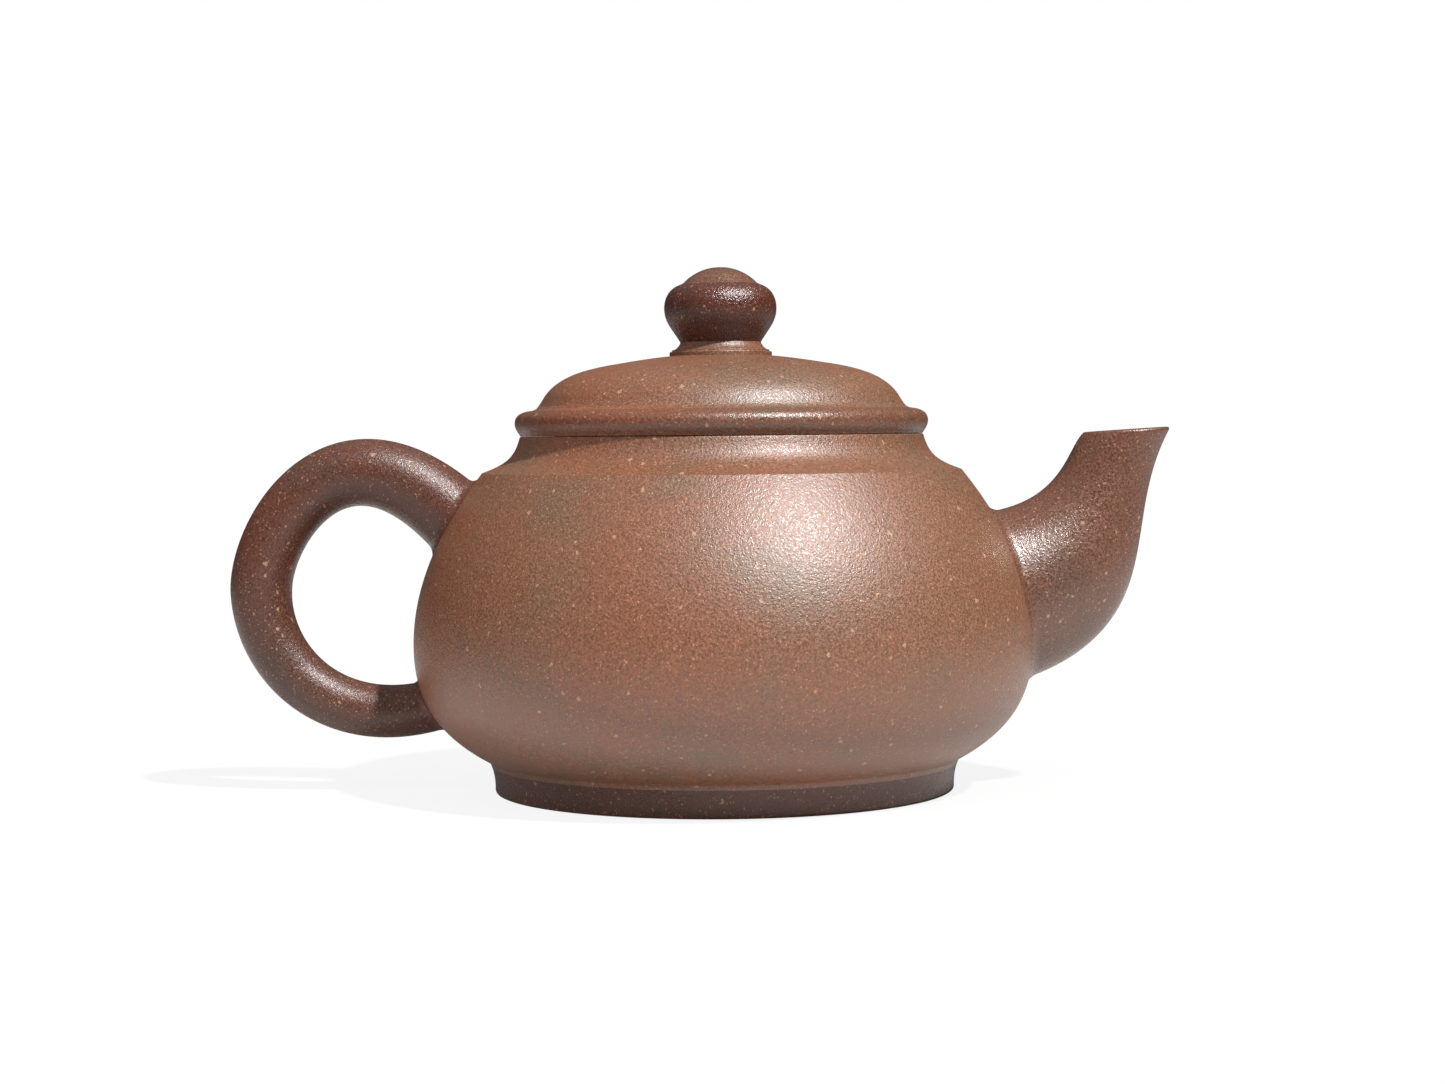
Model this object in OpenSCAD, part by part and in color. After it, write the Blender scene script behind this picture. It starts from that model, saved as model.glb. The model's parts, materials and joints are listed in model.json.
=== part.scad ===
// Round clay teapot with a loose lid.
// Origin: on the pot's axis at the table. +Z up, +X towards the spout, handle at -X.
// Every clay piece is a node of its own; the joints between pieces follow one shared outline.

/* [Belly] */
// Greatest radius of the belly
belly_r = 49.5; // [42:0.5:62]
// Height of the belly's widest circle above the table
belly_z = 23.6; // [19:0.2:30]
// Thickness of the belly wall
belly_t = 2.8; // [2:0.1:3.6]
// Radius of the crisp ridge where the belly meets the shoulder
ridge_r = 38.35; // [36:0.05:44]
// Height of the ridge above the table
ridge_z = 50.85; // [42:0.05:64]

/* [Foot] */
// Radius of the foot ring at the table
foot_r = 36.8; // [35:0.1:38]
// Height of the foot ring
foot_h = 4.4; // [3:0.1:6]
// Spread of the foot ring from the table up to the belly
foot_flare = 0.65; // [0:0.05:1.2]
// Thickness of the foot ring at the table
foot_t = 4.0; // [3:0.1:6]
// Thickness of the floor disc
floor_t = 3.0; // [2:0.1:4]
// Ledge of belly wall that the floor disc is let into
floor_inset = 4.0; // [3:0.1:6]

/* [Neck] */
// Height of the rim above the ridge
neck_h = 5.75; // [4:0.05:8]
// Outer radius of the neck at the rim
neck_r = 32.25; // [30.5:0.05:34]
// Radius of the mouth
mouth_r = 27.4; // [22:0.1:29]

/* [Lid] */
// Greatest radius of the bead round the lid's edge
bead_r = 33.05; // [30:0.05:36]
// Height of the bead
bead_h = 3.95; // [3:0.05:5.5]
// Height of the bead's widest circle above its underside
bead_wide_h = 1.9; // [1:0.05:2.7]
// Gap between the rim and the lid that rests on it
seat_gap = 0.15; // [0.05:0.05:0.3]
// Gap all round between the mouth and the lid's flange
flange_gap = 0.45; // [0.2:0.05:0.8]
// Depth of the flange below the rim
flange_h = 8.0; // [5:0.1:11]
// Thickness of the flange at the top
flange_t = 2.7; // [2:0.1:3.5]
// Taper of the flange's outside, top to bottom
flange_taper = 0.4; // [0:0.05:1]
// Radius of the dome where it leaves the plate
dome_r = 29.3; // [27:0.05:31]
// Height of the dome above the plate
dome_h = 8.5; // [6:0.1:13]
// Thickness of the dome
dome_t = 2.8; // [2:0.1:3.6]

/* [Knob] */
// Radius of the collar under the knob
collar_r = 8.2; // [7.6:0.05:10]
// Height of the collar
collar_h = 2.2; // [1.8:0.05:3]
// Height of the plain band at the foot of the collar
collar_band_h = 0.7; // [0.5:0.05:1]
// How far the collar steps in above that band
collar_step = 0.4; // [0.2:0.05:0.6]
// Radius of the knob's waist, where it stands on the collar
waist_r = 6.45; // [5.5:0.05:7.2]
// Greatest radius of the knob
knob_r = 9.0; // [8:0.05:11]
// Height of the knob without its cap
knob_h = 9.3; // [8:0.1:12]
// Height of the knob's widest circle above its waist
knob_wide_h = 5.45; // [4:0.05:7]
// Radius of the cap on the knob
cap_r = 6.05; // [5:0.05:7]
// Height of the cap
cap_h = 2.7; // [2:0.05:4]
// Radius of the air hole through the knob
vent_r = 1.0; // [0.6:0.1:1.6]

/* [Spout] */
// Reach of the spout's tip beyond the belly
spout_reach = 22.4; // [18:0.1:30]
// Height of the spout's root
spout_root_h = 27.4; // [23:0.1:30]
// Half the width of the spout's root
spout_root_w = 12.4; // [10:0.1:14]
// Height of the root's middle above the middle of the belly wall
spout_root_rise = 2.3; // [0:0.1:4]
// Length of the mouth cut, front to back
spout_mouth_l = 13.8; // [11:0.1:15]
// Half the width of the mouth cut
spout_mouth_w = 5.3; // [4.6:0.1:6.5]
// Height of the tip above the rim
spout_tip_rise = 0.7; // [-2:0.1:4]
// Rise of the mouth cut from back to front
spout_mouth_rise = 0.8; // [0:0.1:2]
// Thickness of the spout at the root
spout_root_t = 2.6; // [2:0.1:3]
// Thickness of the spout at the mouth
spout_mouth_t = 1.9; // [1.4:0.1:2.4]

/* [Strainer] */
// Thickness of the strainer bowl
strainer_t = 2.0; // [1.4:0.1:2.6]
// Radius of each strainer hole
strainer_hole_r = 0.8; // [0.6:0.05:0.95]
// Rings of holes round the middle one
strainer_rings = 3; // [2:1:3]
// Rim of the bowl outside the opening in the belly wall
strainer_rim = 0.8; // [0.4:0.1:1.6]

/* [Handle] */
// Reach of the handle beyond the belly
handle_reach = 29.5; // [26:0.1:38]
// Depth of the handle's upper root below the ridge
handle_drop = 8.95; // [7:0.05:12]
// Height of the handle's lower root above the foot ring
handle_rise = 9.95; // [8:0.05:14]
// Height of the handle's outermost point above its lower root
handle_back_rise = 17.95; // [14:0.05:24]
// Thickness of the handle at its upper root
handle_root_t = 12.4; // [10:0.1:14]
// Thickness of the handle at its outermost point
handle_back_t = 9.8; // [8:0.1:12]
// Thickness of the handle at its lower root
handle_tail_t = 8.2; // [7:0.1:10]
// Width of the handle as a share of its thickness
handle_roundness = 1.04; // [0.9:0.01:1.2]

/* [Hidden] */

$fn = 96;
CURVE_STEPS = 12;
SHORT_STEPS = 5;
SPOUT_SIDES = 28;
SPOUT_RINGS = 20;
HANDLE_SIDES = 20;
HANDLE_RINGS = 18;
// How far the ends of the spout and handle start inside the belly's outside
SINK = 3.3;
// How far a cut runs past what it cuts
PAST = 1;
// Small step from a flat face to the curve that rises from it
INNER_STEP = 0.3;
// How far the outline turns out and up where the belly folds into the foot
FOLD = [0.45, 0.8];
// Share of the neck's cove that belongs to the neck ring; the rest is the shoulder's ledge
NECK_SHARE = 0.78;
// Share of the dome's curve that is lost in the cove round its base
DOME_START = 0.05;
// Round on the edges of the foot ring and the flange
EDGE = 0.5;
// How far the bead draws in from its widest circle to its underside
BEAD_UNDERCUT = 0.85;
// Width of the flat ledge on the bead outside the dome
BEAD_LEDGE = 1;
// Height of the thin lip above the collar's band
COLLAR_LIP = 0.3;
// How much the handle thins from its bend to its outermost point
HANDLE_THINNING = 0.3;
// Angle from the middle hole of the strainer out to its last ring of holes
STRAINER_SPREAD = 57;
// How far the opening in the belly wall stays inside the spout's bore
STRAINER_LEDGE = 2.2;
// How fast the spout narrows on its way from the root: 1 is evenly
SPOUT_FLARE = 1.8;

// Heights, from the table up
body_mid_z = (foot_h + ridge_z) / 2;
rim_z = ridge_z + neck_h;
lid_z = rim_z + seat_gap;
plate_z = lid_z + bead_h;
dome_z = plate_z + dome_h;
knob_z = dome_z + collar_h;
cap_z = knob_z + knob_h;

// ---- Curves -------------------------------------------------------------

function mix(a, b, t) = a + (b - a) * t;

// Point at t on the curve that a list of guide points draws
function on_curve(g, t) =
    len(g) == 1 ? g[0]
    : on_curve([for (i = [0:len(g) - 2]) mix(g[i], g[i + 1], t)], t);

// The stretch of that curve from t0 to t1, as n steps
function stretch(g, n, t0 = 0, t1 = 1) =
    [for (i = [0:n]) on_curve(g, mix(t0, t1, i / n))];

// The point that has gone a share of the way from a to b, with its own share each way
function between(a, b, share) = [mix(a.x, b.x, share.x), mix(a.y, b.y, share.y)];

// Guide points from a to b by way of points given as shares of the way between them
function guided(a, b, shares) = concat([a], [for (s = shares) between(a, b, s)], [b]);

function unit(v) = v / norm(v);

// An outline moved sideways by d, to its left as it is drawn
function moved_in(line, d) =
    [for (i = [0:len(line) - 1])
        let (along = unit(line[min(i + 1, len(line) - 1)] - line[max(i - 1, 0)]))
        line[i] + d * [-along.y, along.x]];

function above(line, z) = [for (p = line) if (p.y > z) p];
function reversed(line) = [for (i = [len(line) - 1:-1:0]) line[i]];

// ---- Outlines of the pot (radius, height) ----------------------------------

seam_r = foot_r + foot_flare;
seam = [seam_r, foot_h];
floor_r = seam_r - floor_inset;
floor_z = foot_h + floor_t;
fold = seam + FOLD;
wide = [belly_r, belly_z];
ridge = [ridge_r, ridge_z];
rim = [neck_r, rim_z];

fold_curve = [seam, seam + [FOLD.x / 3, FOLD.y * 0.56], fold];
lower_belly = guided(wide, fold, [[0, 0.515], [0.37, 0.78]]);
upper_belly = guided(wide, ridge, [[0, 0.347], [0.39, 0.683]]);
neck_cove = guided(rim, ridge, [[0.146, 0.609], [0.386, 0.757]]);
shoulder_z = on_curve(neck_cove, NECK_SHARE).y;

belly_outline = concat(
    stretch(fold_curve, SHORT_STEPS),
    above(stretch(reversed(lower_belly), CURVE_STEPS), fold.y),
    above(stretch(upper_belly, CURVE_STEPS), belly_z)
);
belly_inside = above(moved_in(belly_outline, belly_t), floor_z + INNER_STEP);
mitre = belly_inside[len(belly_inside) - 1];

// Radius of the belly's outside at a height: halves the curve until it meets that height
function belly_at(z, g = upper_belly, lo = 0, hi = 1, n = 16) =
    z < belly_z && g == upper_belly ? belly_at(z, lower_belly)
    : n == 0 ? on_curve(g, (lo + hi) / 2).x
    : abs(on_curve(g, (lo + hi) / 2).y - belly_z) < abs(z - belly_z)
        ? belly_at(z, g, (lo + hi) / 2, hi, n - 1)
        : belly_at(z, g, lo, (lo + hi) / 2, n - 1);

module turned(outline) {
    rotate_extrude() polygon(outline);
}

// Everything inside the belly's outer face, without its hollow
module belly_filled() {
    turned(concat([[0, foot_h]], belly_outline, [[0, ridge_z]]));
}

// The hollow inside the belly wall
module belly_hollow() {
    turned(concat([[0, floor_z]], [[belly_inside[0].x, floor_z]], belly_inside, [[0, mitre.y]]));
}

// ---- Pot --------------------------------------------------------------------

spout_root_z = body_mid_z + spout_root_rise;
strainer_opening_r = spout_root_w - spout_root_t - STRAINER_LEDGE;

module belly_wall() {
    color("#8a5c48") difference() {
        turned(concat([[floor_r, foot_h]], belly_outline, reversed(belly_inside), [[floor_r, floor_z]]));
        translate([0, 0, spout_root_z])
            rotate([0, 90, 0])
                cylinder(r = strainer_opening_r, h = belly_r + PAST);
    }
}

module floor_disc() {
    color("#7d5341") translate([0, 0, foot_h]) cylinder(r = floor_r, h = floor_t);
}

module foot_ring() {
    color("#835644") turned(concat(
        [[foot_r - foot_t, EDGE], [foot_r - foot_t + EDGE, 0]],
        stretch([[foot_r - EDGE, 0], [foot_r, 0], [foot_r, EDGE]], SHORT_STEPS),
        stretch(guided([foot_r, foot_h / 4], seam, [[0.125, 0.6]]), SHORT_STEPS),
        [[foot_r - foot_t - EDGE, foot_h]]
    ));
}

module shoulder_sheet() {
    color("#8f614d") turned(concat(
        [[mouth_r, mitre.y], mitre],
        reversed(stretch(neck_cove, SHORT_STEPS, NECK_SHARE, 1)),
        [[mouth_r, shoulder_z]]
    ));
}

module neck_ring() {
    color("#8c5e4a") turned(concat(
        [[mouth_r, shoulder_z]],
        reversed(stretch(neck_cove, CURVE_STEPS, 0, NECK_SHARE)),
        [[mouth_r, rim_z]]
    ));
}

// The triangles between two closed rings of points, whose first points are numbers a and b
function band(a, b, sides) = [
    for (k = [0:sides - 1])
        let (next = (k + 1) % sides)
        for (tri = [[a + k, b + k, a + next], [a + next, b + k, b + next]]) tri
];

// The triangles that join a stack of closed rings, one ring after another
function sleeve(rings, first = 0) =
    let (sides = len(rings[0]))
    [for (i = [0:len(rings) - 2]) each band(first + i * sides, first + (i + 1) * sides, sides)];

function flipped(faces) = [for (f = faces) [f[0], f[2], f[1]]];
function flat(lists) = [for (l = lists) each l];

// A solid through a stack of closed rings
module lofted(rings) {
    sides = len(rings[0]);
    last = (len(rings) - 1) * sides;
    start_cap = [[for (k = [sides - 1:-1:0]) k]];
    end_cap = [[for (k = [0:sides - 1]) last + k]];
    polyhedron(points = flat(rings), faces = concat(flipped(sleeve(rings)), start_cap, end_cap));
}

// A tube open at both ends, between an outer and an inner stack of rings
module lofted_tube(outer, inner) {
    sides = len(outer[0]);
    count = len(outer) * sides;
    last = count - sides;
    polyhedron(
        points = concat(flat(outer), flat(inner)),
        faces = concat(
            flipped(sleeve(outer)),
            sleeve(inner, count),
            band(0, count, sides),
            flipped(band(last, count + last, sides))
        )
    );
}

// A ring of points whose top and bottom lie on two guide points, half_w wide each way
function oval(top, bottom, half_w, sides) =
    let (mid = (top + bottom) / 2, half = (top - bottom) / 2)
    [for (k = [0:sides - 1])
        let (a = 360 * k / sides, p = mid + half * cos(a))
        [p.x, half_w * sin(a), p.y]];

spout_root_top = [belly_at(spout_root_z + spout_root_h / 2) - SINK, spout_root_z + spout_root_h / 2];
spout_root_low = [belly_at(spout_root_z - spout_root_h / 2) - SINK, spout_root_z - spout_root_h / 2];
spout_tip = [belly_r + spout_reach, rim_z + spout_tip_rise];
spout_back = [spout_tip.x - spout_mouth_l, spout_tip.y - spout_mouth_rise];
spout_top_line = guided(spout_root_top, spout_back, [[0.828, 0.077], [0.833, 0.796]]);
spout_low_line = guided(spout_root_low, spout_tip, [[0.516, 0.075], [0.988, 0.326], [0.675, 0.61]]);

function spout_w(t) = mix(spout_mouth_w, spout_root_w, pow(1 - t, SPOUT_FLARE));
function spout_t(t) = mix(spout_root_t, spout_mouth_t, t);

// One ring of the spout at t, drawn in by a thickness
function spout_ring(t, inset) =
    let (
        top = on_curve(spout_top_line, t),
        low = on_curve(spout_low_line, t),
        down = unit(low - top)
    )
    oval(top + inset * down, low - inset * down, spout_w(t) - inset, SPOUT_SIDES);

module spout() {
    steps = [for (i = [0:SPOUT_RINGS]) i / SPOUT_RINGS];
    color("#6f4334") difference() {
        lofted_tube([for (t = steps) spout_ring(t, 0)], [for (t = steps) spout_ring(t, spout_t(t))]);
        belly_filled();
    }
}

// Bowl-shaped strainer: a ball shell that stands off the inside of the wall
module strainer() {
    bowl_r = strainer_opening_r + strainer_rim + strainer_t;
    centre_x = belly_at(spout_root_z) - belly_t;
    color("#7a4d3c") intersection() {
        translate([centre_x, 0, spout_root_z]) difference() {
            sphere(r = bowl_r);
            sphere(r = bowl_r - strainer_t);
            for (ring = [0:strainer_rings])
                for (k = [0:max(ring * 6, 1) - 1])
                    rotate([k * 360 / max(ring * 6, 1), 0, 0])
                        rotate([0, -90 + ring * STRAINER_SPREAD / strainer_rings, 0])
                            translate([0, 0, bowl_r - strainer_t - PAST / 2])
                                cylinder(r = strainer_hole_r, h = strainer_t + PAST);
        }
        belly_hollow();
    }
}

handle_top_z = ridge_z - handle_drop;
handle_low_z = foot_h + handle_rise;
handle_start = [-(belly_at(handle_top_z) - SINK), handle_top_z];
handle_end = [-(belly_at(handle_low_z) - SINK), handle_low_z];
handle_back = [-(belly_r + handle_reach - handle_back_t / 2), handle_low_z + handle_back_rise];
handle_upper = [
    handle_start,
    between(handle_start, [handle_back.x, rim_z], [0.59, 1.451]),
    between(handle_back, rim, [0, 0.41]),
    handle_back
];
handle_lower = guided(handle_back, handle_end, [[0, 0.675], [0.395, 1.33]]);

// Thickness from the upper root (s = 0) round the back (s = 1) to the lower root (s = 2)
function handle_t(s) =
    s < 1
        ? mix(handle_back_t + HANDLE_THINNING, handle_root_t, pow(1 - s, 3)) - HANDLE_THINNING * s
        : mix(handle_back_t, handle_tail_t, pow(s - 1, 0.8));

module handle() {
    centres = concat(
        stretch(handle_upper, HANDLE_RINGS),
        [for (i = [1:HANDLE_RINGS]) on_curve(handle_lower, i / HANDLE_RINGS)]
    );
    last = len(centres) - 1;
    rings = [
        for (i = [0:last])
            let (
                along = unit(centres[min(i + 1, last)] - centres[max(i - 1, 0)]),
                out = [-along.y, along.x],
                half = handle_t(2 * i / last) / 2
            )
            oval(centres[i] + half * out, centres[i] - half * out, half * handle_roundness, HANDLE_SIDES)
    ];
    color("#653c30") difference() {
        lofted(rings);
        belly_filled();
    }
}

// ---- Lid --------------------------------------------------------------------

flange_r = mouth_r - flange_gap;
lid_bore_r = flange_r - flange_t;
bead_low = [bead_r - BEAD_UNDERCUT, lid_z];
bead_wide = [bead_r, lid_z + bead_wide_h];
bead_top = [dome_r + BEAD_LEDGE, plate_z];
bead_under = guided(bead_low, bead_wide, [[0.65, 0.37], [1, 0.7]]);
bead_over = guided(bead_wide, bead_top, [[0, 0.6], [0.33, 0.93]]);

dome_foot = [dome_r, plate_z + INNER_STEP];
dome_edge = guided(dome_foot, [collar_r, dome_z], [[0.118, 0.79], [0.483, 0.81]]);
dome_curve = stretch(dome_edge, CURVE_STEPS, DOME_START, 1);
dome_inside = above(moved_in(dome_curve, dome_t), plate_z + INNER_STEP);

module air_hole() {
    translate([0, 0, plate_z]) cylinder(r = vent_r, h = cap_z + cap_h + PAST - plate_z);
}

module lid_plate() {
    color("#87594a") turned(concat(
        [[lid_bore_r, lid_z]],
        stretch(bead_under, CURVE_STEPS),
        above(stretch(bead_over, CURVE_STEPS), bead_wide.y),
        [[lid_bore_r, plate_z]]
    ));
}

module lid_flange() {
    color("#7f5343") turned([
        [lid_bore_r, lid_z],
        [lid_bore_r, lid_z - flange_h + EDGE],
        [lid_bore_r + EDGE, lid_z - flange_h],
        [flange_r - flange_taper - EDGE, lid_z - flange_h],
        [flange_r - flange_taper, lid_z - flange_h + EDGE],
        [flange_r, lid_z]
    ]);
}

module lid_dome() {
    color("#90624e") difference() {
        turned(concat(
            [bead_top, dome_foot + [INNER_STEP, 0]],
            dome_curve,
            [[0, dome_z], [0, dome_z - dome_t]],
            reversed(dome_inside),
            [[dome_inside[0].x, plate_z]]
        ));
        air_hole();
    }
}

module knob_collar() {
    band_z = dome_z + collar_band_h;
    lip = [collar_r - collar_step, band_z + COLLAR_LIP];
    cove = guided(lip - [COLLAR_LIP, 0], [waist_r, knob_z], [[0.76, 0.35]]);
    color("#75473a") difference() {
        turned(concat(
            [[0, dome_z], [collar_r, dome_z], [collar_r, band_z], [lip.x, band_z], lip],
            stretch(cove, SHORT_STEPS),
            [[0, knob_z]]
        ));
        air_hole();
    }
}

knob_foot = [waist_r, knob_z];
knob_wide = [knob_r, knob_z + knob_wide_h];
knob_edge = [cap_r, cap_z];
knob_under = guided(knob_foot, knob_wide, [[0.474, 0.376], [1, 0.585]]);
knob_over = guided(knob_wide, knob_edge, [[0, 0.455], [0.317, 0.886]]);

module knob() {
    color("#5d362b") difference() {
        turned(concat(
            [[0, knob_z]],
            stretch(knob_under, CURVE_STEPS),
            above(stretch(knob_over, CURVE_STEPS), knob_wide.y),
            [[0, cap_z]]
        ));
        air_hole();
    }
}

module knob_cap() {
    ball_r = (cap_r * cap_r + cap_h * cap_h) / (2 * cap_h);
    color("#64392d") difference() {
        intersection() {
            translate([0, 0, cap_z + cap_h - ball_r]) sphere(r = ball_r);
            translate([0, 0, cap_z]) cylinder(r = ball_r + PAST, h = cap_h + PAST);
        }
        air_hole();
    }
}

belly_wall();
floor_disc();
foot_ring();
shoulder_sheet();
neck_ring();
spout();
strainer();
handle();
lid_plate();
lid_flange();
lid_dome();
knob_collar();
knob();
knob_cap();
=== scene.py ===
"""Round unglazed clay teapot: every fired piece is built finely around its CAD solid, in the CAD's frame."""
import json
import math

import bmesh
import bpy
from mathutils import Matrix, Vector, noise


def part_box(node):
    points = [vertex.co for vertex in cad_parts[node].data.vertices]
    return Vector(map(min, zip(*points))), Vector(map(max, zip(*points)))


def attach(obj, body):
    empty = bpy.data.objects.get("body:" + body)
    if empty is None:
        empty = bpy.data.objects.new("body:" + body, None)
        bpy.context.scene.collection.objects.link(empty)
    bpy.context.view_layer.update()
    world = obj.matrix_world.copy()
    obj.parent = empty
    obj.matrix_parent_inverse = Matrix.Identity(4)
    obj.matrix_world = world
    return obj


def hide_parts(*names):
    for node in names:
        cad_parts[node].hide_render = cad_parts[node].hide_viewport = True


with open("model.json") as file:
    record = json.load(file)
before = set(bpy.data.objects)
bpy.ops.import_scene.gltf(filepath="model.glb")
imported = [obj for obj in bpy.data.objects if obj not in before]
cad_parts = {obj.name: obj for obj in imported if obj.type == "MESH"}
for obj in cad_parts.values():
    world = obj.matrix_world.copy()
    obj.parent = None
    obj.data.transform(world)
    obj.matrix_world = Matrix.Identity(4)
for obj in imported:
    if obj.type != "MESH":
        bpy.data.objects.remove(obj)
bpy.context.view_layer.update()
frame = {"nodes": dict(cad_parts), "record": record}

MM = 0.001

# ---- Measures ----------------------------------------------------------------

# Steps round the pot's axis, and the longest step along an outline
AROUND = 224
STEP = 0.7 * MM
# A ring of the CAD mesh has at least this many points at one radius and height
RING_POINTS = 20
# Two points nearer than this are one
SAME = 0.006 * MM
# The outline turns sharply from here up: outwards, and in a hollow
CONVEX_CORNER = math.radians(23.5)
HOLLOW_CORNER = math.radians(50)
# A bend smaller than this is only a step in a straight line
STRAIGHT = math.radians(1)
# Round that the wet cloth leaves on a free edge
WIPED_EDGE = 0.28 * MM
# How far a beaten or thrown wall strays inwards from true, and the depth and width of its shallow dents
STRAY = 0.08 * MM
DENT = 0.03 * MM
DENT_WIDTH = 8 * MM
# Radius of the slip worked into a corner, and how deep a root reaches into the belly's face
SLIP = 1.3 * MM
LUTED = 0.06 * MM

# Spout, as in the CAD: its root, its mouth and its wall
SPOUT_ROOT_H = 27.4 * MM
SPOUT_ROOT_W = 12.4 * MM
SPOUT_ROOT_RISE = 2.3 * MM
SPOUT_MOUTH_L = 13.8 * MM
SPOUT_MOUTH_W = 5.3 * MM
SPOUT_MOUTH_RISE = 0.8 * MM
SPOUT_ROOT_T = 2.6 * MM
SPOUT_MOUTH_T = 1.9 * MM
SPOUT_FLARE = 1.8
SPOUT_LIP = 0.7 * MM
SPOUT_SIDES = 88
SPOUT_STEPS = 84
# Handle, as in the CAD: the heights of its roots and back, and its thickness
HANDLE_DROP = 8.95 * MM
HANDLE_RISE = 9.95 * MM
HANDLE_BACK_RISE = 17.95 * MM
HANDLE_ROOT_T = 12.4 * MM
HANDLE_BACK_T = 9.8 * MM
HANDLE_TAIL_T = 8.2 * MM
HANDLE_THINNING = 0.3 * MM
HANDLE_ROUNDNESS = 1.04
HANDLE_SIDES = 56
HANDLE_STEPS = 220
# How far the ends of spout and handle start inside the belly's outside
SINK = 3.3 * MM
# How closely the spout's steps crowd towards its root, and the handle's towards both of its roots
SPOUT_CROWDING = 1.5
HANDLE_CROWDING = 0.9

# Share of the gap under the lid that its seat closes
SETTLED = 0.85
# Height of the knob's cap before the air hole is bored, how far its foot is worked out, and its steps
CAP_H = 2.69 * MM
CAP_WORKED = 0.45 * MM
CAP_STEPS = 22
# Opening in the belly wall behind the strainer, and how deep its tool cuts
OPENING_R = 7.6 * MM
OPENING_DEPTH = 14 * MM
# Step of the table of the belly's radius at each height, and halvings that find where a line leaves the belly
BELLY_STEP = 0.25 * MM
HALVINGS = 26
# A turned face stays raw where it looks this far inwards, or this far down
LOOKS_INWARDS = -0.3
LOOKS_DOWN = -0.94

# Light: each lamp in W/m2 with its width, its way round to the right of the lens and its height in degrees
KEY_LAMP = (5.1, 3, 45, 54)
FILL_LAMP = (1.2, 60, -42, 46)
# What the clay mirrors: the room in front, the backdrop and the ceiling
ROOM = "#4c4c4c"
BACKDROP = "#404040"
OVERHEAD = "#a0a0a0"
# Own glow of the paper, the share of it that the lens sees burnt out, and where it starts and ends to darken
TABLE_GLOW = 0.08
BURNT_OUT = 0.88
DARKENS = (0.12, 0.5)
FLOOR_REACH = 12.0
# Just under the foot, so that floor and foot share no face
FLOOR_Z = -0.01 * MM
# The camera: where it stands, how far it looks down, how far it leans, and its lens
CAMERA_PLACE = (0, -0.432, 0.0569)
CAMERA_DOWN = math.radians(2.31)
CAMERA_LEAN = math.radians(-0.54)
CAMERA_LENS = 67.2
CAMERA_SENSOR = 36


# ---- Curves ------------------------------------------------------------------

def mix(a, b, t):
    return a + (b - a) * t


def on_curve(guides, t):
    """The point at t on the curve that a list of guide points draws."""
    while len(guides) > 1:
        guides = [mix(p, q, t) for p, q in zip(guides, guides[1:])]
    return guides[0]


def between(a, b, share):
    """The point that has gone a share of the way from a to b, with its own share each way."""
    return Vector((mix(a[0], b[0], share[0]), mix(a[1], b[1], share[1])))


def guided(a, b, shares):
    """Guide points from a to b by way of points given as shares of the way between them."""
    return [Vector(a)] + [between(a, b, share) for share in shares] + [Vector(b)]


def smoothstep(low, high, x):
    t = min(max((x - low) / (high - low), 0), 1)
    return t * t * (3 - 2 * t)


def rounded_corner(before, corner, after, cut, steps=5):
    """The corner of a path as a small curve that leaves out cut of the line on each side."""
    a, b = before - corner, after - corner
    cut = min(cut, 0.45 * a.length, 0.45 * b.length)
    ends = [corner + a.normalized() * cut, corner, corner + b.normalized() * cut]
    return [on_curve(ends, t / (steps - 1)) for t in range(steps)]


# ---- Outlines of the turned pieces, read from the CAD's frame ----------------

def section_path(node):
    """The cut through a turned CAD node by the half-plane from its axis towards -Y, as points in order."""
    bm = bmesh.new()
    bm.from_mesh(frame["nodes"][node].data)
    bmesh.ops.remove_doubles(bm, verts=bm.verts, dist=1e-6)
    for normal in ((1, 0, 0), (0, 1, 0)):
        bmesh.ops.bisect_plane(
            bm, geom=list(bm.verts) + list(bm.edges) + list(bm.faces), plane_co=(0, 0, 0),
            plane_no=normal, dist=1e-7, clear_outer=True, clear_inner=normal == (1, 0, 0),
        )
    bmesh.ops.remove_doubles(bm, verts=bm.verts, dist=1e-6)
    ends = [v for v in bm.verts if len(v.link_edges) == 1]
    here = ends[0] if ends else bm.verts[:][0]
    path, used = [here], set()
    while True:
        ways = [e for e in here.link_edges if e not in used]
        if not ways:
            break
        used.add(ways[0])
        here = ways[0].other_vert(here)
        path.append(here)
    points = [Vector((-v.co.y, v.co.z)) for v in path]
    bm.free()
    return points


def place_along(path, point):
    """How far along a path its nearest place to a point is."""
    best, run = None, 0.0
    for a, b in zip(path, path[1:]):
        length = (b - a).length
        if length:
            share = min(max((point - a).dot(b - a) / length ** 2, 0), 1)
            gap = (point - a - (b - a) * share).length
            if best is None or gap < best[0]:
                best = (gap, run + share * length)
        run += length
    return best[1]


def turn_at(points, i):
    """How far a closed outline turns at point i: positive to the left, outwards."""
    a = points[i] - points[i - 1]
    b = points[(i + 1) % len(points)] - points[i]
    return math.atan2(a.x * b.y - a.y * b.x, a.dot(b))


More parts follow.
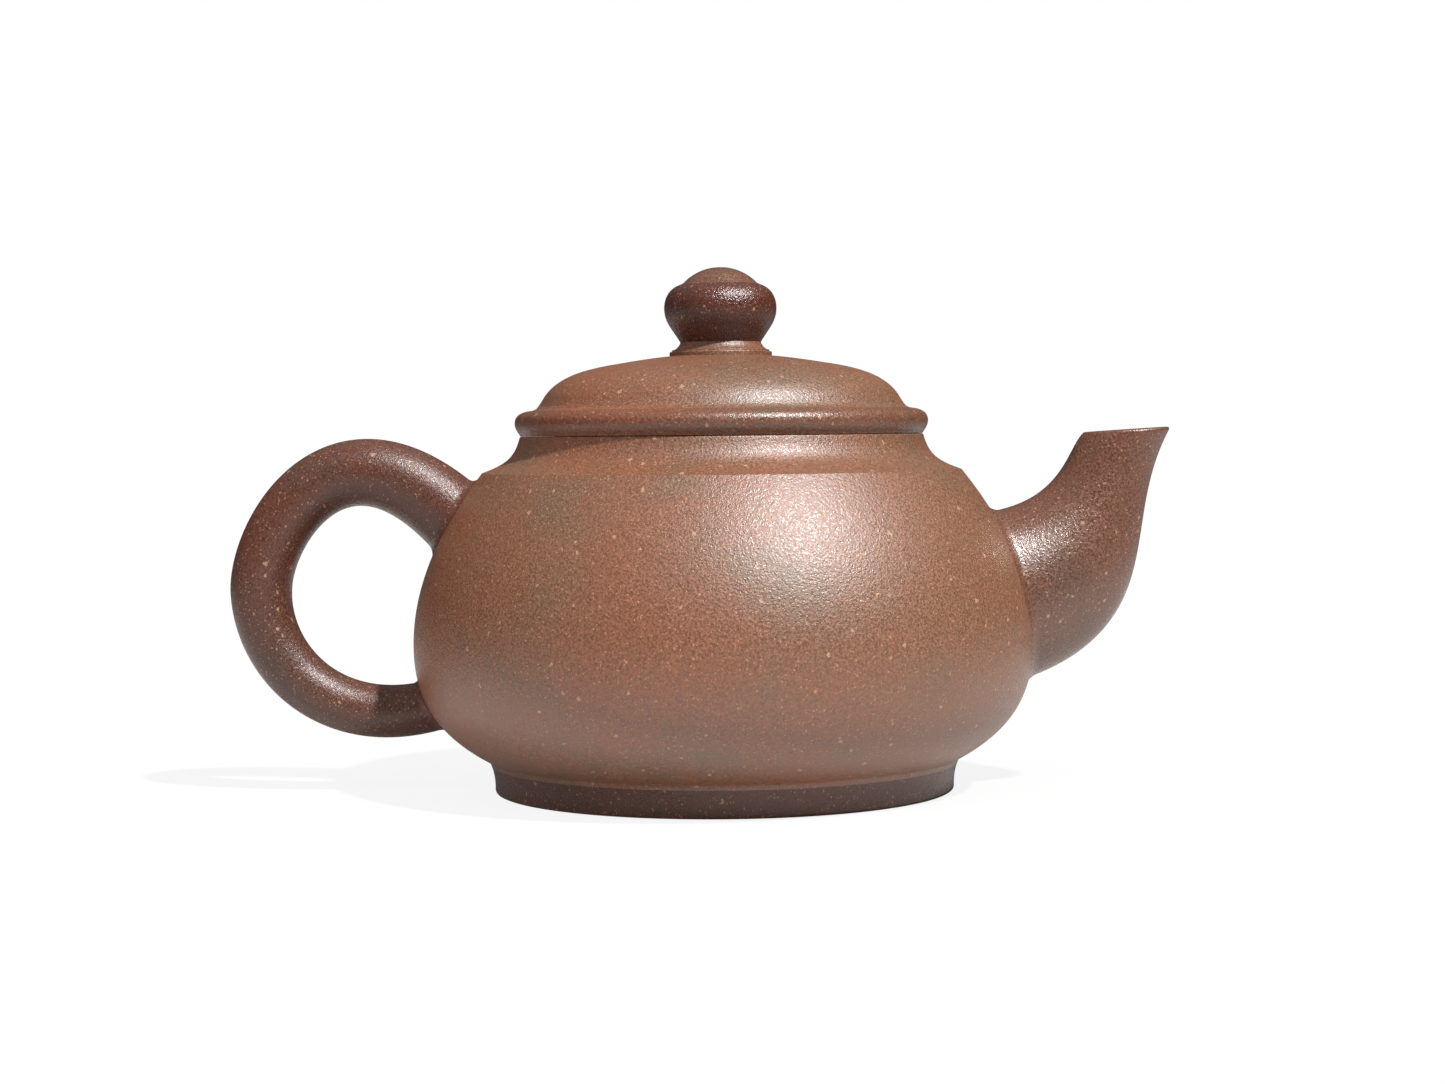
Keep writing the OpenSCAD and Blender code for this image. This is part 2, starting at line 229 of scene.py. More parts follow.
def outline(node):
    """The outline of a turned CAD node as (radius, height) points, anticlockwise.
    Its points are the rings that the CAD drew."""
    path = section_path(node)
    rings = {}
    for v in frame["nodes"][node].data.vertices:
        key = (round(math.hypot(v.co.x, v.co.y), 6), round(v.co.z, 6))
        rings[key] = rings.get(key, 0) + 1
    found = [Vector(key) for key, count in rings.items() if count >= RING_POINTS]
    points = sorted(found, key=lambda p: place_along(path, p))
    if (path[0] - path[-1]).length > SAME:
        points = [path[0]] + points + [path[-1]]
    points = [p for i, p in enumerate(points) if (p - points[i - 1]).length > SAME]
    points = [p for i, p in enumerate(points) if abs(turn_at(points, i)) > STRAIGHT]
    area = sum(a.x * b.y - b.x * a.y for a, b in zip(points, points[1:] + points[:1]))
    return points if area > 0 else points[::-1]


TURNED = [
    "belly_wall", "floor_disc", "foot_ring", "shoulder_sheet", "neck_ring",
    "lid_plate", "lid_flange", "lid_dome", "knob_collar", "knob",
]
OUTLINES = {name: outline(name) for name in TURNED}
# The CAD's lid floats a little; the real one rests on the rim
SEAT_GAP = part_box("lid_plate")[0].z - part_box("neck_ring")[1].z
for point in OUTLINES["lid_plate"]:
    if point.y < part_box("lid_plate")[0].z + SAME:
        point.y -= SETTLED * SEAT_GAP


def is_luted(node, point):
    """True where a corner meets a corner of another piece, so that slip has closed the joint."""
    others = [q for other, line in OUTLINES.items() if other != node for q in line]
    return any((point - q).length < 2 * SAME for q in others)


def through(p0, p1, p2, p3, t):
    """The point at t between p1 and p2 on a smooth curve through all four, whatever their spacing."""
    k = [0.0]
    for a, b in ((p0, p1), (p1, p2), (p2, p3)):
        k.append(k[-1] + max((b - a).length, SAME) ** 0.5)
    x = mix(k[1], k[2], t)
    pairs = ((0, p0, p1), (1, p1, p2), (2, p2, p3))
    a1, a2, a3 = (mix(p, q, (x - k[i]) / (k[i + 1] - k[i])) for i, p, q in pairs)
    b1 = mix(a1, a2, (x - k[0]) / (k[2] - k[0]))
    b2 = mix(a2, a3, (x - k[1]) / (k[3] - k[1]))
    return mix(b1, b2, (x - k[1]) / (k[2] - k[1]))


def fine_outline(node):
    """The outline drawn finely, as (point, is_sharp) pairs.
    Curves are smooth, luted corners stay sharp, and free edges are rounded."""
    points = OUTLINES[node]
    low, high = (pick(p.y for p in points) for pick in (min, max))
    count = len(points)
    turns = [turn_at(points, i) for i in range(count)]
    corner = [t > CONVEX_CORNER or t < -HOLLOW_CORNER or p.x < SAME for t, p in zip(turns, points)]
    fine = []
    for i in range(count):
        p1, p2 = points[i], points[(i + 1) % count]
        if p1.x < SAME and p2.x < SAME:
            fine.append((p1, True, False))
            continue
        before = mix(p2, p1, 2) if corner[i] else points[i - 1]
        after = mix(p1, p2, 2) if corner[(i + 1) % count] else points[(i + 2) % count]
        steps = max(1, math.ceil((p2 - p1).length / STEP))
        free = corner[i] and p1.x > SAME and not is_luted(node, p1)
        fine.append((p1, corner[i], free))
        for s in range(1, steps):
            point = through(before, p1, p2, after, s / steps)
            fine.append((Vector((point.x, min(max(point.y, low), high))), False, False))
    line = []
    for i, (point, sharp, free) in enumerate(fine):
        if free:
            after = fine[(i + 1) % len(fine)][0]
            line += [(p, False) for p in rounded_corner(fine[i - 1][0], point, after, WIPED_EDGE)]
        else:
            line.append((point, sharp))
    return line


def cap_outline():
    """The knob's cap: a slice of a ball with the air hole through it, its foot worked out onto the knob."""
    low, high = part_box("knob_cap")
    vent = min(p.x for p in OUTLINES["knob"])
    ball = (high.x ** 2 + CAP_H ** 2) / (2 * CAP_H)
    centre = low.z + CAP_H - ball
    start, end = math.asin(high.x / ball) - CAP_WORKED / ball, math.asin(vent / ball)
    arc = [Vector((ball * math.sin(a), centre + ball * math.cos(a)))
           for a in (mix(start, end, i / CAP_STEPS) for i in range(CAP_STEPS + 1))]
    foot = [Vector((high.x + CAP_WORKED, low.z - 0.25 * CAP_WORKED)), Vector((high.x, low.z)), arc[0]]
    line = [Vector((vent, low.z))] + [on_curve(foot, i / 6) for i in range(6)] + arc
    return [(p, i < 2 or i == len(line) - 1) for i, p in enumerate(line)]


# ---- Shape left by the hand --------------------------------------------------

def strayed(x, y, z):
    """Where a point of the true shape lies on the handmade one.
    All pieces share it, so their seams stay shut."""
    radius = math.hypot(x, y)
    if radius < SAME:
        return Vector((x, y, z))
    turn = math.atan2(y, x)
    # True at the axis, for the air hole. Farther out, swells that lean as they rise, and shallow dents
    reach = STRAY * smoothstep(0, 34 * MM, radius)
    wave = (
        0.25 * math.sin(2 * turn + 0.7 + z / (40 * MM))
        + 0.15 * math.sin(3 * turn + 2.2 - z / (25 * MM))
        + 0.1 * math.sin(5 * turn + 4.0 + z / (18 * MM))
    )
    dent = DENT * (0.5 + 0.5 * noise.noise(Vector((x, y, z)) / DENT_WIDTH)) * smoothstep(0, 12 * MM, radius)
    inwards = reach * (0.5 + wave) + dent
    up = 0.3 * reach * math.sin(2 * turn + 1.1) * smoothstep(0, 12 * MM, z)
    return Vector((x * (1 - inwards / radius), y * (1 - inwards / radius), z + up))


# ---- Making meshes -----------------------------------------------------------

def new_piece(name, points, faces, sharp_edges=()):
    mesh = bpy.data.meshes.new(name)
    mesh.from_pydata([tuple(p) for p in points], [], faces)
    mesh.polygons.foreach_set("use_smooth", [True] * len(mesh.polygons))
    if sharp_edges:
        keys = {tuple(sorted(e)) for e in sharp_edges}
        mesh.attributes.new("sharp_edge", "BOOLEAN", "EDGE")
        mesh.edges.foreach_set("use_edge_sharp", [tuple(sorted(e.vertices)) in keys for e in mesh.edges])
    mesh.update()
    piece = bpy.data.objects.new(name, mesh)
    bpy.context.scene.collection.objects.link(piece)
    return piece


def turned_piece(name, line):
    """A closed outline of (point, is_sharp) pairs turned once round the axis."""
    points, rings, faces, sharp = [], [], [], []
    for point, _ in line:
        start = len(points)
        if point.x < SAME:
            points.append(Vector((0, 0, point.y)))
            rings.append([start] * AROUND)
            continue
        for k in range(AROUND):
            a = 2 * math.pi * k / AROUND
            points.append(strayed(point.x * math.cos(a), point.x * math.sin(a), point.y))
        rings.append(list(range(start, start + AROUND)))
    for i, ring in enumerate(rings):
        following = rings[(i + 1) % len(rings)]
        for k in range(AROUND):
            n = (k + 1) % AROUND
            face = [ring[k], ring[n], following[n], following[k]]
            face = [v for j, v in enumerate(face) if v != face[j - 1]]
            if len(face) > 2:
                faces.append(face)
            if line[i][1] and ring[k] != ring[n]:
                sharp.append((ring[k], ring[n]))
    return new_piece(name, points, faces, sharp)


def skin_over(name, lines, closed_ends):
    """A piece whose skin joins neighbouring lines of points, all alike in number and set in a ring.
    Its ends are joined to each other, or closed_ends gives each a fan."""
    count = len(lines[0])
    points = [strayed(*p) for line in lines for p in line]
    faces = []
    for k in range(len(lines)):
        a, b = k * count, (k + 1) % len(lines) * count
        for i in range(count - 1 if closed_ends else count):
            j = (i + 1) % count
            faces.append([a + i, b + i, b + j, a + j])
    if closed_ends:
        for i, flip in ((0, True), (count - 1, False)):
            ring = [k * count + i for k in range(len(lines))]
            middle = len(points)
            points.append(sum((points[v] for v in ring), Vector()) / len(ring))
            for v, w in zip(ring, ring[1:] + ring[:1]):
                faces.append([w, v, middle] if flip else [v, w, middle])
    return new_piece(name, points, faces)


def cut_out(piece, tool):
    """Cuts the tool's shape out of a piece, and takes the tool away."""
    cut = piece.modifiers.new("cut", "BOOLEAN")
    cut.object = tool
    cut.solver = "EXACT"
    finished = bpy.data.meshes.new_from_object(piece.evaluated_get(bpy.context.evaluated_depsgraph_get()))
    piece.modifiers.clear()
    piece.data = finished
    bpy.data.objects.remove(tool)


# ---- Clay --------------------------------------------------------------------

def linear(code):
    """An sRGB hex colour as linear RGBA."""
    values = [int(code[i:i + 2], 16) / 255 for i in (1, 3, 5)]
    return [v / 12.92 if v <= 0.04045 else ((v + 0.055) / 1.055) ** 2.4 for v in values] + [1.0]


def add(tree, kind, inputs, **settings):
    """Adds a shader node with its settings, and feeds each input from a value or from another node's output.
    Gives the node's outputs."""
    node = tree.nodes.new("ShaderNode" + kind)
    for name, value in settings.items():
        setattr(node, name, value)
    for name, value in inputs.items():
        if isinstance(value, bpy.types.NodeSocket):
            tree.links.new(value, node.inputs[name])
        else:
            node.inputs[name].default_value = value
    return node.outputs


def mottled(tree, place, size, detail, offset, low, high):
    """Soft cloudy patches of about one size, from 0 to 1, with low and high as the cloud's cut-offs."""
    moved = add(tree, "Mapping", {"Vector": place, "Location": offset})[0]
    cloud = add(tree, "TexNoise",
                {"Vector": moved, "Scale": 1 / size, "Detail": detail, "Roughness": 0.55})[0]
    return add(tree, "MapRange", {"Value": cloud, "From Min": low, "From Max": high},
               interpolation_type="SMOOTHSTEP")[0]


def grains(tree, place, pitch, size, share, offset):
    """Ragged grains, 1 in their middle, in a share of the cells of that pitch, each up to size across."""
    moved = add(tree, "Mapping", {"Vector": place, "Location": offset})[0]
    rag = add(tree, "TexNoise", {"Vector": moved, "Scale": 1.3 / size, "Detail": 1})["Color"]
    moved = add(tree, "VectorMath", {0: rag, 1: (0.9 * size,) * 3, 2: moved}, operation="MULTIPLY_ADD")[0]
    cells = add(tree, "TexVoronoi", {"Vector": moved, "Scale": 1 / pitch})
    lot = add(tree, "SeparateColor", {"Color": cells["Color"]})[0]
    radius = add(tree, "MapRange", {"Value": lot, "From Min": 1 - share, "To Max": size / pitch / 2})[0]
    depth = add(tree, "Math", {0: radius, 1: cells["Distance"]}, operation="SUBTRACT")[0]
    return add(tree, "MapRange", {"Value": depth, "From Max": 0.12 * size / pitch})[0]


def tinted(tree, under, over, amount, strength=1.0):
    """A colour laid over another in the places that amount gives."""
    share = add(tree, "Math", {0: amount, 1: strength}, operation="MULTIPLY")[0]
    return add(tree, "Mix", {0: share, 6: under, 7: over}, data_type="RGBA")[2]


def fired_clay(name, body, ruddy, ashen, dusky, roughness, shine, peel):
    """Unglazed stoneware of sieved clay with coarser grog, worked while leather-hard and then fired.
    It has a fine orange-peel, pale specks of grog, and soft patches that the kiln left redder or greyer.
    The four colours are the clay's own, those of its redder and greyer patches, and its dark fine grains.
    shine is its index of refraction, and peel how deep its skin is."""
    material = bpy.data.materials.new(name)
    material.use_nodes = True
    tree = material.node_tree
    tree.nodes.clear()
    place = add(tree, "TexCoord", {})["Object"]

    # Kiln patches a few centimetres wide, redder towards the handle, then mottling of a few millimetres
    patches = mottled(tree, place, 30 * MM, 3, (0.31, 0.12, 0.05), 0.3, 0.62)
    side = add(tree, "SeparateXYZ", {"Vector": place})["X"]
    side = add(tree, "MapRange", {"Value": side, "From Min": 40 * MM, "From Max": -45 * MM, "To Min": 0.1})[0]
    fired = add(tree, "Math", {0: patches, 1: side}, operation="MULTIPLY")[0]
    colour = tinted(tree, linear(body), linear(ruddy), fired)
    grey = mottled(tree, place, 26 * MM, 3, (0.07, 0.4, 0.23), 0.48, 0.74)
    colour = tinted(tree, colour, linear(ashen), grey)
    red = mottled(tree, place, 3.4 * MM, 3, (0.5, 0.2, 0.9), 0.45, 0.8)
    colour = tinted(tree, colour, linear(ruddy), red, 0.45)
    # The sieved clay itself, with dark and pale grains of 0.2 to 0.4 mm
    fine = mottled(tree, place, 0.34 * MM, 2, (0.9, 0.3, 0.1), 0.32, 0.7)
    colour = tinted(tree, colour, linear(dusky), fine, 0.66)
    dust = grains(tree, place, 0.5 * MM, 0.3 * MM, 1.0, (0.61, 0.47, 0.83))
    colour = tinted(tree, colour, linear("#bd8c6c"), dust, 0.5)
    # Grog: many small pale grains, fewer large ones, and iron specks. The large ones are drawn a little
    # coarser than the sieve lets through, so that they show
    pale = grains(tree, place, 0.9 * MM, 0.42 * MM, 0.9, (0.23, 0.13, 0.37))
    buff = grains(tree, place, 1.9 * MM, 0.8 * MM, 0.7, (0.11, 0.03, 0.07))
    iron = grains(tree, place, 2.7 * MM, 0.5 * MM, 0.5, (0.43, 0.29, 0.11))
    colour = tinted(tree, colour, linear("#b8876b"), pale, 0.5)
    colour = tinted(tree, colour, linear("#c6967a"), buff, 0.52)
    colour = tinted(tree, colour, linear("#2f1810"), iron, 0.55)

    # Orange-peel of the rubbed skin, grog that stands a little proud, and pits where iron melted out
    wave = mottled(tree, place, 0.5 * MM, 3, (0.17, 0.61, 0.29), 0.2, 0.8)
    grit = mottled(tree, place, 0.22 * MM, 1, (0.67, 0.21, 0.59), 0.2, 0.8)
    skin = add(tree, "Math", {0: grit, 1: 0.6, 2: wave}, operation="MULTIPLY_ADD")[0]
    skin = add(tree, "Math", {0: pale, 1: 0.25, 2: skin}, operation="MULTIPLY_ADD")[0]
    skin = add(tree, "Math", {0: iron, 1: -0.6, 2: skin}, operation="MULTIPLY_ADD")[0]
    bump = add(tree, "Bump", {"Height": skin, "Strength": 1.0, "Distance": peel})[0]
    rough = add(tree, "MapRange", {"Value": fine, "To Min": roughness + 0.12, "To Max": roughness - 0.1})[0]
    shader = add(tree, "BsdfPrincipled",
                 {"Base Color": colour, "Roughness": rough, "Normal": bump, "IOR": shine})
    add(tree, "OutputMaterial", {"Surface": shader[0]})
    return material


# Belly, lid and collar, rubbed with a horn tool: satin, with broad soft highlights
RUBBED_CLAY = fired_clay("rubbed_brown_clay", "#7f563c", "#8c4f31", "#70563f", "#4d2f1f",
                         0.42, 1.76, 0.04 * MM)
# The bead of the lid, rubbed more along its edge: a little darker, with a narrower gleam. The darker clay is
# partly painted shade on the bead's lower side
RIM_CLAY_AND_SHADE = fired_clay("rubbed_rim_clay_and_painted_shade", "#744c36", "#7f422a", "#634a38", "#452819",
                      0.36, 1.7, 0.04 * MM)
# Spout and cap, rubbed harder: darker, with the strongest gleam
SPOUT_CLAY = fired_clay("rubbed_spout_clay", "#6e4632", "#763e2a", "#5d4435", "#3c2215",
                        0.31, 1.76, 0.035 * MM)
# Foot and handle, rubbed lightly: dark brown, with a duller gleam. On the foot the dark brown is partly
# painted shade, the shade under the belly's overhang
TRIM_CLAY_AND_FOOT_SHADE = fired_clay("rubbed_dark_clay_and_foot_shade", "#5b3a2e", "#613626", "#4d392f", "#351c14",
                       0.37, 1.54, 0.04 * MM)
# The knob, rubbed the most: the darkest, with small sharp highlights broken up by its skin
KNOB_CLAY = fired_clay("rubbed_knob_clay", "#5b2d1f", "#612b1c", "#4c2d22", "#2d130c",
                       0.28, 1.66, 0.06 * MM)
# Inside and under the foot, scraped and left: dry and coarse, with hardly a gleam
RAW_CLAY = fired_clay("scraped_raw_clay", "#6e442f", "#773a20", "#5f4435", "#432719",
                      0.62, 1.5, 0.07 * MM)


# ---- Turned pieces -----------------------------------------------------------

BODIES = {n: body for body, nodes in frame["record"]["behaviour"]["bodies"].items() for n in nodes}
SLOTS = {part["node"]: part["material_slot"] for part in frame["record"]["subparts"]}
CLAYS = {"belly_clay": RUBBED_CLAY, "lid_clay": RUBBED_CLAY, "trim_clay": TRIM_CLAY_AND_FOOT_SHADE, "inner_clay": RAW_CLAY}
# Pieces that the kiln left darker or lighter than the rest of their clay. On the foot and on the lid's bead
# the darker clay is also painted shade: the shade under the belly's overhang and on the bead's lower side
SHADES = {
    "foot_ring": TRIM_CLAY_AND_FOOT_SHADE, "spout": SPOUT_CLAY, "lid_plate": RIM_CLAY_AND_SHADE,
    "knob_collar": RUBBED_CLAY, "knob": KNOB_CLAY, "knob_cap": SPOUT_CLAY,
}


def fire(piece, node):
    """The piece takes its node's clay, stands for the node and rides with it.
    A turned piece is raw where it faces inwards or down."""
    piece.data.materials.append(SHADES.get(node, CLAYS[SLOTS[node]]))
    piece.data.materials.append(RAW_CLAY)
    if node in TURNED:
        for face in piece.data.polygons:
            outwards = Vector((face.center.x, face.center.y, 0)).normalized().dot(face.normal)
            raw = outwards < LOOKS_INWARDS or face.normal.z < LOOKS_DOWN
            face.material_index = 1 if raw else 0
    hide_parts(node)
    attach(piece, BODIES[node])


def belly_at(height):
    """The belly's outer radius at a height, on the finely drawn outline."""
    best = 0.0
    for (a, _), (b, _) in zip(BELLY_LINE, BELLY_LINE[1:] + BELLY_LINE[:1]):
        if min(a.y, b.y) <= height <= max(a.y, b.y) and abs(b.y - a.y) > SAME / 10:
            best = max(best, mix(a.x, b.x, (height - a.y) / (b.y - a.y)))
    return best


BELLY_LINE = fine_outline("belly_wall")
BELLY_LOW, BELLY_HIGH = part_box("belly_wall")
FOOT_Z = BELLY_LOW.z
RIDGE_Z = BELLY_HIGH.z
RIM_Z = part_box("neck_ring")[1].z
ROOT_Z = (FOOT_Z + RIDGE_Z) / 2 + SPOUT_ROOT_RISE
# The belly's outer radius at each step of height
BELLY_SIDE = [belly_at(FOOT_Z + i * BELLY_STEP) for i in range(int((RIDGE_Z - FOOT_Z) / BELLY_STEP))]


def belly_face(height):
    """Radius and slope of the belly's face at a height, from a table of its heights."""
    share = (height - FOOT_Z) / BELLY_STEP
    i = int(min(max(share, 2), len(BELLY_SIDE) - 4))
    radius = mix(BELLY_SIDE[i], BELLY_SIDE[i + 1], share - i)
    return radius, (BELLY_SIDE[i + 2] - BELLY_SIDE[i - 1]) / (3 * BELLY_STEP)


def belly_round():
    """Opening behind the strainer, cut through the belly wall on the spout's side."""
    tool_mesh = bmesh.new()
    place = Matrix.Translation((belly_at(ROOT_Z), 0, ROOT_Z)) @ Matrix.Rotation(math.pi / 2, 4, "Y")
    bmesh.ops.create_cone(tool_mesh, cap_ends=True, segments=72, radius1=OPENING_R, radius2=OPENING_R,
                          depth=OPENING_DEPTH, matrix=place)
    mesh = bpy.data.meshes.new("drill")
    tool_mesh.to_mesh(mesh)
    tool_mesh.free()
    tool = bpy.data.objects.new("drill", mesh)
    bpy.context.scene.collection.objects.link(tool)
    return tool


for node in TURNED:
    turned = turned_piece("fired_" + node, fine_outline(node))
    if node == "belly_wall":
        cut_out(turned, belly_round())
    fire(turned, node)
fire(turned_piece("fired_knob_cap", cap_outline()), "knob_cap")

STRAINER = frame["nodes"]["strainer"].data
STRAINER.materials.clear()
STRAINER.materials.append(RAW_CLAY)


# ---- Spout and handle --------------------------------------------------------

def off_belly(point):
    """How far a point lies outside the belly's face, and which way that face looks there."""
    radius, slope = belly_face(point.z)
    out = Vector((point.x, point.y, 0)).normalized()
    out.z = -slope
    return (math.hypot(point.x, point.y) - radius) / out.length, out.normalized()


def leaves_belly(line, start, end):
    """The parameter between start and end at which a line of points is LUTED deep under the belly's face."""
    for _ in range(HALVINGS):
        middle = (start + end) / 2
        if off_belly(line(middle))[0] < -LUTED:
            start = middle
        else:
            end = middle
    return end


def with_slip(point, heart):
    """Moves a point close to the belly out from the root's heart, as the slip worked into the corner does."""
    gap, out = off_belly(point)
    if gap >= SLIP:
        return point
    side = point - heart
    side = (side - out * side.dot(out)).normalized()
    lift = 1 - max(gap, 0) / SLIP
    return point + side * SLIP * (1 - math.sqrt(max(1 - lift ** 2, 0)))


def ring_point(top, low, half_width, turn):
    """A point of an oval whose top and bottom lie on two guide points of the middle plane."""
    p = (top + low) / 2 + (top - low) / 2 * math.cos(turn)
    return Vector((p.x, half_width * math.sin(turn), p.y))


def spout_piece():
    """The spout, its root luted to the belly and its mouth cut level, with a lip rounded by the cloth."""
    top_z, low_z = ROOT_Z + SPOUT_ROOT_H / 2, ROOT_Z - SPOUT_ROOT_H / 2
    tip = Vector((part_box("spout")[1].x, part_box("spout")[1].z))
    back = tip - Vector((SPOUT_MOUTH_L, SPOUT_MOUTH_RISE))
    top_line = guided((belly_at(top_z) - SINK, top_z), back, [(0.828, 0.077), (0.833, 0.796)])
    low_line = guided((belly_at(low_z) - SINK, low_z), tip, [(0.516, 0.075), (0.988, 0.326), (0.675, 0.61)])

    def place(t, turn, inset_share):
        inset = inset_share * mix(SPOUT_ROOT_T, SPOUT_MOUTH_T, t)
        top, low = on_curve(top_line, t), on_curve(low_line, t)
        down = (low - top).normalized() * inset
        half_width = mix(SPOUT_MOUTH_W, SPOUT_ROOT_W, (1 - t) ** SPOUT_FLARE) - inset
        return ring_point(top + down, low - down, half_width, turn)

    heart = Vector((belly_at(ROOT_Z), 0, ROOT_Z))
    lines = []
    for k in range(SPOUT_SIDES):
        turn = 2 * math.pi * k / SPOUT_SIDES
        sides = []
        for inset in (0, 1):
            start = leaves_belly(lambda t: place(t, turn, inset), 0, 0.6)
            shares = [(i / SPOUT_STEPS) ** SPOUT_CROWDING for i in range(SPOUT_STEPS + 1)]
            sides.append([place(mix(start, 1, share), turn, inset) for share in shares])
        outside, inside = sides[0], sides[1][::-1]
        lip = rounded_corner(outside[-3], outside[-1], inside[0], SPOUT_LIP)
        lip += rounded_corner(outside[-1], inside[0], inside[2], SPOUT_LIP)
        lines.append([with_slip(p, heart) for p in outside[:-2]] + lip + inside[2:])
    return skin_over("luted_spout", lines, closed_ends=False)


def handle_piece():
    """The handle, rolled and bent, with both roots luted to the belly."""
    top_z, low_z = RIDGE_Z - HANDLE_DROP, FOOT_Z + HANDLE_RISE
    start = Vector((-(belly_at(top_z) - SINK), top_z))
    end = Vector((-(belly_at(low_z) - SINK), low_z))
    back = Vector((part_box("handle")[0].x + HANDLE_BACK_T / 2, low_z + HANDLE_BACK_RISE))
    rim = (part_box("neck_ring")[1].x, RIM_Z)
    upper = [start, between(start, (back.x, RIM_Z), (0.59, 1.451)), between(back, rim, (0, 0.41)), back]
    lower = guided(back, end, [(0, 0.675), (0.395, 1.33)])

    def middle(s):
        return on_curve(upper, s) if s < 1 else on_curve(lower, s - 1)

    def thickness(s):
        if s < 1:
            return mix(HANDLE_BACK_T + HANDLE_THINNING, HANDLE_ROOT_T, (1 - s) ** 3) - HANDLE_THINNING * s
        return mix(HANDLE_BACK_T, HANDLE_TAIL_T, (s - 1) ** 0.8)

    def place(s, turn):
        along = (middle(min(s + 0.01, 2)) - middle(max(s - 0.01, 0))).normalized()
        out = Vector((-along.y, along.x)) * thickness(s) / 2
        return ring_point(middle(s) + out, middle(s) - out, out.length * HANDLE_ROUNDNESS, turn)

    hearts = [Vector((p.x, 0, p.y)) for p in (start, end)]
    lines = []
    for k in range(HANDLE_SIDES):
        turn = 2 * math.pi * k / HANDLE_SIDES
        first = leaves_belly(lambda s: place(s, turn), 0, 0.6)
        last = leaves_belly(lambda s: place(s, turn), 2, 1.4)
        line = []
        for i in range(HANDLE_STEPS + 1):
            share = i / HANDLE_STEPS
            crowd = HANDLE_CROWDING * math.sin(2 * math.pi * share) / (2 * math.pi)
            s = mix(first, last, share - crowd)
            line.append(with_slip(place(s, turn), hearts[0 if s < 1 else 1]))
        lines.append(line)
    return skin_over("luted_handle", lines, closed_ends=True)


fire(spout_piece(), "spout")
fire(handle_piece(), "handle")


# ---- Floor, light and camera -------------------------------------------------

def glowing_paper():
    """White background paper: matt, with a faint tooth, and a faint painted glow of its own that lights the
    pot from below and thins its shadow
    """
    material = bpy.data.materials.new("white_background_paper")
    material.use_nodes = True
    tree = material.node_tree
    tree.nodes.clear()
    place = add(tree, "TexCoord", {})["Object"]
    tooth = mottled(tree, place, 1.5 * MM, 2, (0, 0, 0), 0.2, 0.8)
    colour = tinted(tree, linear("#c4c4c3"), linear("#cacac9"), tooth)
    # The paper darkens away from the pot, so that the edges of the clay mirror a dim room
    away = add(tree, "VectorMath", {0: place}, operation="LENGTH")["Value"]
    away = add(tree, "MapRange", {"Value": away, "From Min": DARKENS[0], "From Max": DARKENS[1]},
               interpolation_type="SMOOTHSTEP")[0]
    colour = tinted(tree, colour, linear("#303030"), away)
    bump = add(tree, "Bump", {"Height": tooth, "Strength": 0.2, "Distance": 0.02 * MM})[0]
    # The paper glows a little of its own: a painted glow that lights the clay from below and thins the pot's
    # shadow on it
    paper = add(tree, "BsdfPrincipled", {
        "Base Color": colour, "Roughness": 0.9, "Normal": bump, "IOR": 1.45,
        "Emission Color": linear("#ffffff"), "Emission Strength": TABLE_GLOW,
    })
    # The lens sees most of the paper burnt out to white, as far as the horizon, with little shadow left
    white = add(tree, "MapRange", {"Value": away, "To Min": 1.0, "To Max": 1 / BURNT_OUT})[0]
    burnt = add(tree, "Emission", {"Color": linear("#ffffff"), "Strength": white})
    share = add(tree, "Math", {0: add(tree, "LightPath", {})["Is Camera Ray"], 1: BURNT_OUT},
                operation="MULTIPLY")[0]
    surface = add(tree, "MixShader", {0: share, 1: paper[0], 2: burnt[0]})
    add(tree, "OutputMaterial", {"Surface": surface[0]})
    return material


def paper_floor():
    corners = [(FLOOR_REACH * x, FLOOR_REACH * y, 0) for x, y in ((-1, -1), (1, -1), (1, 1), (-1, 1))]
    floor = new_piece("paper_floor", corners, [[0, 1, 2, 3]])
    floor.location.z = FLOOR_Z
    floor.data.materials.append(glowing_paper())


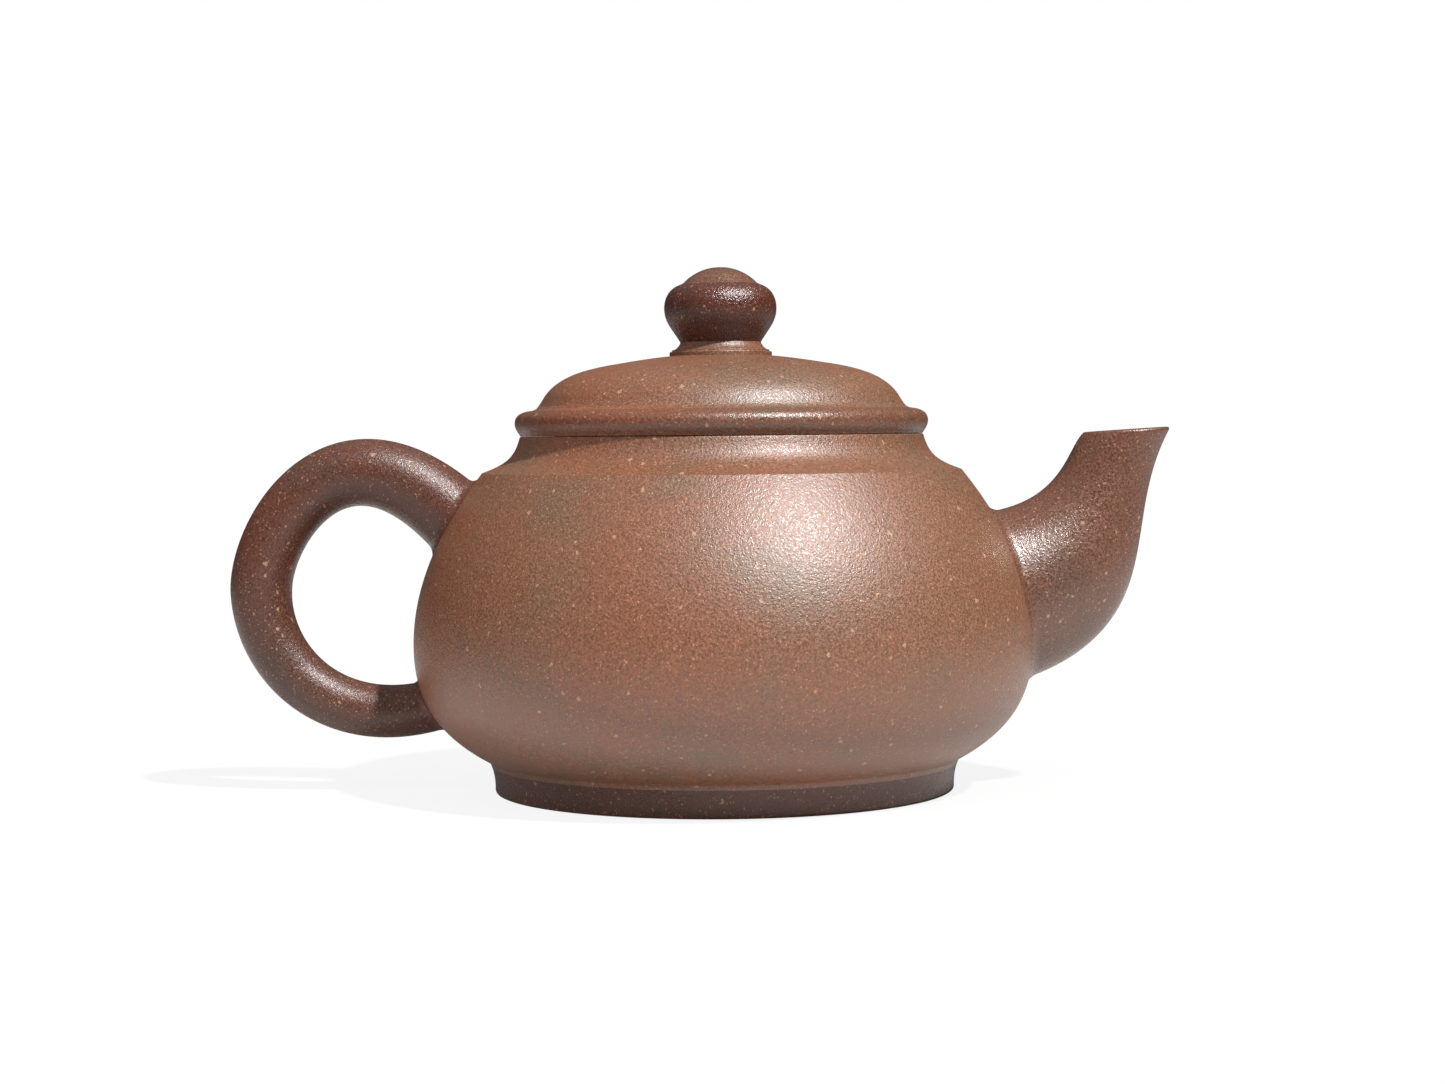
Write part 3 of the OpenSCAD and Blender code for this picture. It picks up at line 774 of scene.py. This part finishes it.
def studio_light():
    """A small lamp high on the right of the camera, a weak wide one on its left, and a dim room.
    The lens sees white all round. The clay mirrors the room, with the ceiling brighter than the rest."""
    world = bpy.data.worlds.new("studio")
    bpy.context.scene.world = world
    world.use_nodes = True
    tree = world.node_tree
    tree.nodes.clear()
    way = add(tree, "SeparateXYZ", {"Vector": add(tree, "TexCoord", {})["Generated"]})
    behind = add(tree, "MapRange", {"Value": way["Y"], "From Min": -0.1, "From Max": 0.9},
                 interpolation_type="SMOOTHSTEP")[0]
    above = add(tree, "MapRange", {"Value": way["Z"], "From Min": 0.2, "From Max": 0.9},
                interpolation_type="SMOOTHSTEP")[0]
    room = add(tree, "Mix", {0: behind, 6: linear(ROOM), 7: linear(BACKDROP)}, data_type="RGBA")[2]
    room = add(tree, "Mix", {0: above, 6: room, 7: linear(OVERHEAD)}, data_type="RGBA")[2]
    seen = add(tree, "Mix", {0: add(tree, "LightPath", {})["Is Camera Ray"], 6: room, 7: linear("#ffffff")},
               data_type="RGBA")[2]
    glow = add(tree, "Background", {"Color": seen, "Strength": 1.0})[0]
    add(tree, "OutputWorld", {"Surface": glow})

    hang_lamp("key_lamp", *KEY_LAMP)
    # The fill only lifts the shaded side: no highlight shows it
    hang_lamp("fill_lamp", *FILL_LAMP).visible_glossy = False


def hang_lamp(name, energy, size, round_right, height):
    """A lamp a long way off, its size and direction in degrees: round to the right of the lens, and up."""
    data = bpy.data.lights.new(name, "SUN")
    data.energy = energy
    data.angle = math.radians(size)
    lamp = bpy.data.objects.new(name, data)
    bpy.context.scene.collection.objects.link(lamp)
    round_right, height = math.radians(round_right), math.radians(height)
    towards = Vector((math.cos(height) * math.sin(round_right), -math.cos(height) * math.cos(round_right),
                      math.sin(height)))
    lamp.rotation_euler = towards.to_track_quat("Z", "Y").to_euler()
    return lamp


def camera():
    data = bpy.data.cameras.new("camera")
    data.lens = CAMERA_LENS
    data.sensor_width = CAMERA_SENSOR
    data.clip_start = 0.01
    holder = bpy.data.objects.new("camera", data)
    bpy.context.scene.collection.objects.link(holder)
    tilt = Matrix.Rotation(math.pi / 2 - CAMERA_DOWN, 4, "X") @ Matrix.Rotation(CAMERA_LEAN, 4, "Z")
    holder.matrix_world = Matrix.Translation(CAMERA_PLACE) @ tilt
    bpy.context.scene.camera = holder


paper_floor()
studio_light()
camera()
bpy.context.scene.view_settings.view_transform = "Standard"
bpy.context.scene.view_settings.look = "None"
